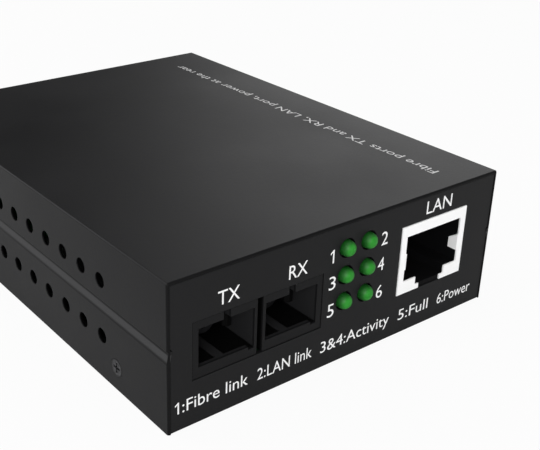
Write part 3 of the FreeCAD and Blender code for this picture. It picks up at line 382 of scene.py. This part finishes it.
coat = casing_coat("casing_coat")
folded_coat = casing_coat("cover_coat", folded=True)
port_black = port_moulding()
clip_black = moulded("clip_black", srgb(5, 5, 5), srgb(8, 8, 8), 0.60, ior=1.15)
jack_black = moulded("jack_black", srgb(7, 7, 8), srgb(11, 11, 12), 0.62, ior=1.15)
inlet_black = moulded("inlet_black", srgb(22, 22, 23), srgb(29, 29, 30), 0.38)
chip_black = moulded("chip_black", srgb(26, 26, 28), srgb(38, 38, 40), 0.55, grain=0.12)
holder_black = moulded("holder_black", srgb(17, 17, 18), srgb(23, 23, 24), 0.5)
part_buff = moulded("part_buff", srgb(150, 128, 94), srgb(172, 150, 116), 0.5, grain=0.15)
coil_grey = moulded("coil_grey", srgb(62, 62, 64), srgb(80, 80, 82), 0.6, grain=0.2)
# The jack's shell is painted near white and made mostly non-metallic: a painted reflection of the white
# studio on its plating.
nickel_painted_reflection = metal("nickel_painted_reflection", srgb(248, 248, 248), srgb(254, 254, 254), 0.30, 0.38, along=(1, 1, 8),
               metallic=0.12)
screw_steel = screw_finish()
plain_steel = metal("plain_steel", srgb(176, 177, 180), srgb(204, 205, 207), 0.28, 0.38)
sleeve_metal = metal("sleeve_metal", srgb(40, 40, 42), srgb(58, 58, 60), 0.40, 0.50)
can_gold = metal("can_gold", srgb(196, 160, 92), srgb(222, 188, 118), 0.25, 0.35)
contact_gold = metal("contact_gold", srgb(206, 164, 84), srgb(232, 194, 110), 0.20, 0.30, size=0.2)
tin_plate = metal("tin_plate", srgb(168, 169, 170), srgb(200, 200, 200), 0.30, 0.45, size=0.3)
can_metal = metal("can_metal", srgb(170, 171, 174), srgb(206, 207, 210), 0.25, 0.35)
mask_green = board_mask()
ink = printing_ink("ink_white", srgb(226, 226, 226), srgb(246, 246, 246))
ink_thin = printing_ink("ink_thin", srgb(178, 178, 178), srgb(212, 212, 212))

FINISHES = {
    "top_cover": folded_coat,
    "bottom_tray": coat,
    "cover_screws": screw_steel,
    "standoffs": plain_steel,
    "board_screws": plain_steel,
    "main_board": mask_green,
    "transceiver_board": mask_green,
    "optical_housing": port_black,
    "tx_latch_clip": clip_black,
    "rx_latch_clip": clip_black,
    "tx_ferrule_sleeve": sleeve_metal,
    "rx_ferrule_sleeve": sleeve_metal,
    "tx_laser_can": can_gold,
    "rx_photodiode_can": can_gold,
    "jack_shield": nickel_painted_reflection,
    "jack_insert": jack_black,
    "led_holder": holder_black,
    "power_inlet_body": inlet_black,
    "power_inlet_pin": tin_plate,
    "power_inlet_spring": tin_plate,
    "converter_chip": chip_black,
    "isolation_transformer": chip_black,
    "memory_chip": chip_black,
    "regulator": chip_black,
    "power_coil": coil_grey,
    "crystal": can_metal,
    "capacitor_1": can_metal,
    "capacitor_2": can_metal,
    "chip_resistors": chip_black,
    "chip_capacitors": part_buff,
}

# The status lights, in millimetres.
LED_RADIUS = 1.5
LENS_RADIUS = 1.38
LENS_CHAMFER = 0.15
LENS_SETBACK = 0.2
LED_LENGTH = 5.8
LEAD_WIDTH = 0.5
LEAD_SPREAD = 1.27
LENS_SIDES = 48
DOME_STEPS = 12


def led_spot(name):
    """The tip of one status light's axis and its CAD box's corners, in millimetres."""
    low, high = (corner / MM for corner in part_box(name))
    tip = Vector(((low.x + high.x) / 2, low.y, high.z - LED_RADIUS))
    return tip, low, high


LENSES = {}
for name in nodes:
    if name.startswith("status_led_"):
        spot, _, _ = led_spot(name)
        LENSES[name] = lens_green("lens_green_" + name[-1], spot.x, spot.z)

for name, node in nodes.items():
    if name.startswith("status_led_"):
        finish = LENSES[name]
    elif name.startswith("transceiver_pin_"):
        finish = tin_plate
    elif name.startswith("jack_contact_"):
        finish = contact_gold
    else:
        finish = FINISHES[name]
    node.data.materials.clear()
    node.data.materials.append(finish)


# ---------------------------------------------------------------- status lights
def lathed(shape, profile, spot, sides):
    """Turn a profile of radius and depth about the light's own axis, which runs back along +Y."""
    rings = []
    for radius, depth in profile:
        if radius == 0:
            rings.append([shape.verts.new((spot.x * MM, (spot.y + depth) * MM, spot.z * MM))])
            continue
        rings.append([
            shape.verts.new(((spot.x + radius * math.cos(math.tau * k / sides)) * MM,
                             (spot.y + depth) * MM,
                             (spot.z + radius * math.sin(math.tau * k / sides)) * MM))
            for k in range(sides)
        ])
    for first, second in zip(rings, rings[1:]):
        for k in range(sides):
            if len(first) == 1:
                shape.faces.new((first[0], second[(k + 1) % sides], second[k]))
            elif len(second) == 1:
                shape.faces.new((first[k], first[(k + 1) % sides], second[0]))
            else:
                shape.faces.new((first[k], first[(k + 1) % sides],
                                 second[(k + 1) % sides], second[k]))


def bar(shape, low, high, slot=0):
    """A box between two corners, in millimetres."""
    made = bmesh.ops.create_cube(shape, size=1.0)["verts"]
    middle = (low + high) / 2
    span = high - low
    for vertex in made:
        vertex.co = Vector([(middle[i] + vertex.co[i] * span[i]) * MM for i in range(3)])
    for face in {face for vertex in made for face in vertex.link_faces}:
        face.material_index = slot


def finished(name, shape, finishes, smooth=40.0):
    """Close a mesh piece: its normals, its smooth faces and its finishes."""
    bmesh.ops.recalc_face_normals(shape, faces=shape.faces)
    limit = math.radians(smooth)
    for face in shape.faces:
        face.smooth = True
    for edge in shape.edges:
        if len(edge.link_faces) == 2:
            edge.smooth = edge.calc_face_angle(0.0) < limit
    mesh = bpy.data.meshes.new(name)
    shape.to_mesh(mesh)
    shape.free()
    for finish in finishes:
        mesh.materials.append(finish)
    piece = bpy.data.objects.new(name, mesh)
    bpy.context.scene.collection.objects.link(piece)
    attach(piece, "root")
    return piece


def dressed_led(name):
    """A light with a true round dome on its barrel, and the two leads that the CAD node has."""
    spot, low, high = led_spot(name)
    shape = bmesh.new()
    profile = [(0.0, LENS_SETBACK)]
    for step in range(1, DOME_STEPS + 1):
        angle = math.pi / 2 * step / DOME_STEPS
        profile.append((LENS_RADIUS * math.sin(angle),
                        LENS_SETBACK + LENS_RADIUS * (1 - math.cos(angle))))
    profile += [(LENS_RADIUS, LED_LENGTH - LENS_CHAMFER),
                (LENS_RADIUS - LENS_CHAMFER, LED_LENGTH),
                (0.0, LED_LENGTH)]
    lathed(shape, profile, spot, LENS_SIDES)
    half = LEAD_WIDTH / 2
    for side in (-1, 1):
        x = spot.x + side * LEAD_SPREAD
        bar(shape, Vector((x - half, spot.y + LED_LENGTH, spot.z - half)),
            Vector((x + half, high.y, spot.z + half)), 1)
        bar(shape, Vector((x - half, high.y - LEAD_WIDTH, low.z)),
            Vector((x + half, high.y, spot.z - half)), 1)
    piece = finished("lens_" + name[-1], shape, [LENSES[name], tin_plate])
    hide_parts(name)


for name in LENSES:
    dressed_led(name)


# ---------------------------------------------------------------- jack
def dressed_shield():
    """The jack's shell, with the top of its inner tabs lowered."""
    node = nodes["jack_shield"]
    shape = bmesh.new()
    shape.from_mesh(node.data)
    low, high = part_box("jack_shield")
    middle = (low.x + high.x) / 2
    for vertex in shape.verts:
        spot = vertex.co
        on_tab = TAB_REACH[0] < abs(spot.x - middle) / MM < TAB_REACH[1]
        at_mouth = low.y + 0.3 * MM < spot.y < low.y + 2.5 * MM
        if on_tab and at_mouth and abs(spot.z / MM - TAB_TOP) < 0.1:
            vertex.co.z -= TAB_TRIM * MM
    piece = finished("shell", shape, [nickel_painted_reflection], smooth=30.0)
    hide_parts("jack_shield")


dressed_shield()


# ---------------------------------------------------------------- printing
FRONT, TOP = "front", "top"
FILM = 0.012 * MM
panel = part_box("bottom_tray")[0].y
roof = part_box("top_cover")[1].z


def printed(name, words, face, left, base, width, height, finish=ink):
    """Flat ink on the front or the top: words stretched to fill a width and a capital height."""
    curve = bpy.data.curves.new(name, "FONT")
    curve.body = words
    curve.size = 1.0
    curve.resolution_u = 3
    text = bpy.data.objects.new(name, curve)
    bpy.context.scene.collection.objects.link(text)
    bpy.context.view_layer.update()
    graph = bpy.context.evaluated_depsgraph_get()
    mesh = bpy.data.meshes.new_from_object(text.evaluated_get(graph))
    bpy.data.objects.remove(text)
    across = [v.co.x for v in mesh.vertices]
    first = min(across)
    stretch = width / (max(across) - first)
    for vertex in mesh.vertices:
        x = left + (vertex.co.x - first) * stretch
        y = base + vertex.co.y * height / CAPITAL
        if face == FRONT:
            vertex.co = Vector((x * MM, panel - FILM, y * MM))
        else:
            vertex.co = Vector((-y * MM, x * MM, roof + FILM))
    film = bmesh.new()
    film.from_mesh(mesh)
    bmesh.ops.remove_doubles(film, verts=film.verts, dist=1e-6)
    film.to_mesh(mesh)
    film.free()
    mesh.materials.append(finish)
    piece = bpy.data.objects.new(name, mesh)
    bpy.context.scene.collection.objects.link(piece)
    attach(piece, "root")


def printed_one(name, left, base, width, height):
    """A figure one for the front: an upright stem with a short flag."""
    outline = [(0.52, 0.0), (0.80, 0.0), (0.80, 1.0), (0.60, 1.0),
               (0.08, 0.80), (0.08, 0.66), (0.52, 0.82)]
    film = bmesh.new()
    film.faces.new([
        film.verts.new(((left + x * width) * MM, panel - FILM, (base + y * height) * MM))
        for x, y in outline
    ])
    finished(name, film, [ink])


def capital_height():
    """How tall a capital of the built-in type is at size 1."""
    curve = bpy.data.curves.new("gauge", "FONT")
    curve.body = "H"
    text = bpy.data.objects.new("gauge", curve)
    bpy.context.scene.collection.objects.link(text)
    bpy.context.view_layer.update()
    top = max(corner[1] for corner in text.bound_box)
    bpy.data.objects.remove(text)
    return top


CAPITAL = capital_height()
MARK_HEIGHT = 2.35
DIGIT_WIDTH, DIGIT_HEIGHT = 1.45, 2.4
LEGEND_HEIGHT = 2.1
printed("mark_tx", "TX", FRONT, -26.45, 19.35, 4.05, MARK_HEIGHT)
printed("mark_rx", "RX", FRONT, -12.85, 19.3, 3.8, MARK_HEIGHT)
printed_one("mark_1", -4.35, 19.35, 1.1, DIGIT_HEIGHT)
for digit, across, up in (("2", 7.85, 20.5), ("3", -3.5, 15.7), ("4", 7.5, 15.75),
                          ("5", -3.5, 10.6), ("6", 7.65, 10.5)):
    printed("mark_" + digit, digit, FRONT, across - 0.72, up - DIGIT_HEIGHT / 2,
            DIGIT_WIDTH, DIGIT_HEIGHT)
printed("mark_lan", "LAN", FRONT, 17.6, 22.15, 6.3, MARK_HEIGHT)
printed_one("legend_one", -34.25, 3.2, 1.0, LEGEND_HEIGHT)
for key, words, left, right_end, base in (("a", ":Fibre link", -32.85, -20.4, 3.2),
                                          ("b", "2:LAN link", -18.5, -7.1, 3.12),
                                          ("c", "3&4:Activity", -5.2, 10.8, 3.0),
                                          ("d", "5:Full", 13.1, 20.7, 2.82),
                                          ("e", "6:Power", 23.15, 32.1, 2.72)):
    printed("legend_" + key, words, FRONT, left, base, right_end - left, LEGEND_HEIGHT)
printed("top_line", "Fibre ports TX and RX, LAN port, power at the rear", TOP,
        -41.3, -26.6, 80.0, 1.8, finish=ink_thin)


# ---------------------------------------------------------------- floor and light
PAPER = (0.70, 0.70, 0.70, 1.0)
FLOOR_GLOW = 0.93
WORLD_LIGHT = 0.45


def plain_floor():
    """A wide pale floor that takes the part's shadow."""
    grid = bmesh.new()
    bmesh.ops.create_grid(grid, x_segments=8, y_segments=8, size=4.0)
    mesh = bpy.data.meshes.new("floor")
    grid.to_mesh(mesh)
    grid.free()
    floor = bpy.data.objects.new("floor", mesh)
    bpy.context.scene.collection.objects.link(floor)
    material = bpy.data.materials.new("floor_pale")
    material.use_nodes = True
    tree = material.node_tree
    tree.nodes.clear()
    output = tree.nodes.new("ShaderNodeOutputMaterial")
    mix = tree.nodes.new("ShaderNodeMixShader")
    paper = tree.nodes.new("ShaderNodeBsdfDiffuse")
    paper.inputs["Color"].default_value = PAPER
    glow = tree.nodes.new("ShaderNodeEmission")
    glow.inputs["Color"].default_value = (1.0, 1.0, 1.0, 1.0)
    glow.inputs["Strength"].default_value = 1.0
    path = tree.nodes.new("ShaderNodeLightPath")
    seen = tree.nodes.new("ShaderNodeMath")
    seen.operation = "MULTIPLY"
    seen.inputs[1].default_value = FLOOR_GLOW
    tree.links.new(path.outputs["Is Camera Ray"], seen.inputs[0])
    tree.links.new(seen.outputs[0], mix.inputs[0])
    tree.links.new(paper.outputs[0], mix.inputs[1])
    tree.links.new(glow.outputs[0], mix.inputs[2])
    tree.links.new(mix.outputs[0], output.inputs[0])
    mesh.materials.append(material)


def softbox(name, place, aim, size, power):
    """A square soft lamp that looks at a point."""
    lamp = bpy.data.lights.new(name, "AREA")
    lamp.shape = "SQUARE"
    lamp.size = size
    lamp.energy = power
    holder = bpy.data.objects.new(name, lamp)
    holder.location = place
    holder.rotation_euler = (Vector(aim) - Vector(place)).to_track_quat("-Z", "Y").to_euler()
    bpy.context.scene.collection.objects.link(holder)


def dark_card(name, corners):
    """A dark card that only shows in reflections, as a studio uses to shape a sheen."""
    mesh = bpy.data.meshes.new(name)
    mesh.from_pydata(corners, [], [(0, 1, 2, 3)])
    card = bpy.data.objects.new(name, mesh)
    bpy.context.scene.collection.objects.link(card)
    material = bpy.data.materials.new(name)
    material.use_nodes = True
    shader = material.node_tree.nodes["Principled BSDF"]
    shader.inputs["Base Color"].default_value = (0.01, 0.01, 0.01, 1.0)
    shader.inputs["Roughness"].default_value = 1.0
    shader.inputs["Specular IOR Level"].default_value = 0.0
    mesh.materials.append(material)
    card.visible_camera = False
    card.visible_diffuse = False
    card.visible_shadow = False
    card.visible_transmission = False


def pale_world():
    """White behind the part; a softer level lights it."""
    world = bpy.data.worlds.new("pale")
    bpy.context.scene.world = world
    world.use_nodes = True
    tree = world.node_tree
    sky = tree.nodes["Background"]
    sky.inputs["Color"].default_value = (1.0, 1.0, 1.0, 1.0)
    path = tree.nodes.new("ShaderNodeLightPath")
    shown = tree.nodes.new("ShaderNodeMath")
    shown.operation = "MAXIMUM"
    either = tree.nodes.new("ShaderNodeMath")
    either.operation = "MAXIMUM"
    level = tree.nodes.new("ShaderNodeMapRange")
    level.inputs["To Min"].default_value = WORLD_LIGHT
    level.inputs["To Max"].default_value = 1.0
    tree.links.new(path.outputs["Is Camera Ray"], shown.inputs[0])
    tree.links.new(path.outputs["Is Glossy Ray"], shown.inputs[1])
    tree.links.new(shown.outputs[0], either.inputs[0])
    tree.links.new(path.outputs["Is Transmission Ray"], either.inputs[1])
    tree.links.new(either.outputs[0], level.inputs["Value"])
    tree.links.new(level.outputs["Result"], sky.inputs["Strength"])


plain_floor()
pale_world()
AIM = (0, 0, 0.01)
softbox("key", (-0.56, -0.66, 0.36), AIM, 0.5, 6.0)
softbox("overhead", (-0.25, -0.1, 0.9), AIM, 0.8, 2.5)
softbox("rear_right", (0.80, 0.50, 0.36), AIM, 0.5, 0.8)
softbox("rear_left", (-0.44, 0.76, 0.48), AIM, 0.4, 1.6)
dark_card("card_rear", [(0.62, 0.9, 0.0), (-0.05, 0.9, 0.0), (-0.05, 0.9, 1.0), (0.62, 0.9, 1.0)])
dark_card("card_front", [(0.85, -0.10, 0.35), (0.20, -0.85, 0.35),
                         (0.15, -0.60, 0.95), (0.60, -0.05, 0.95)])
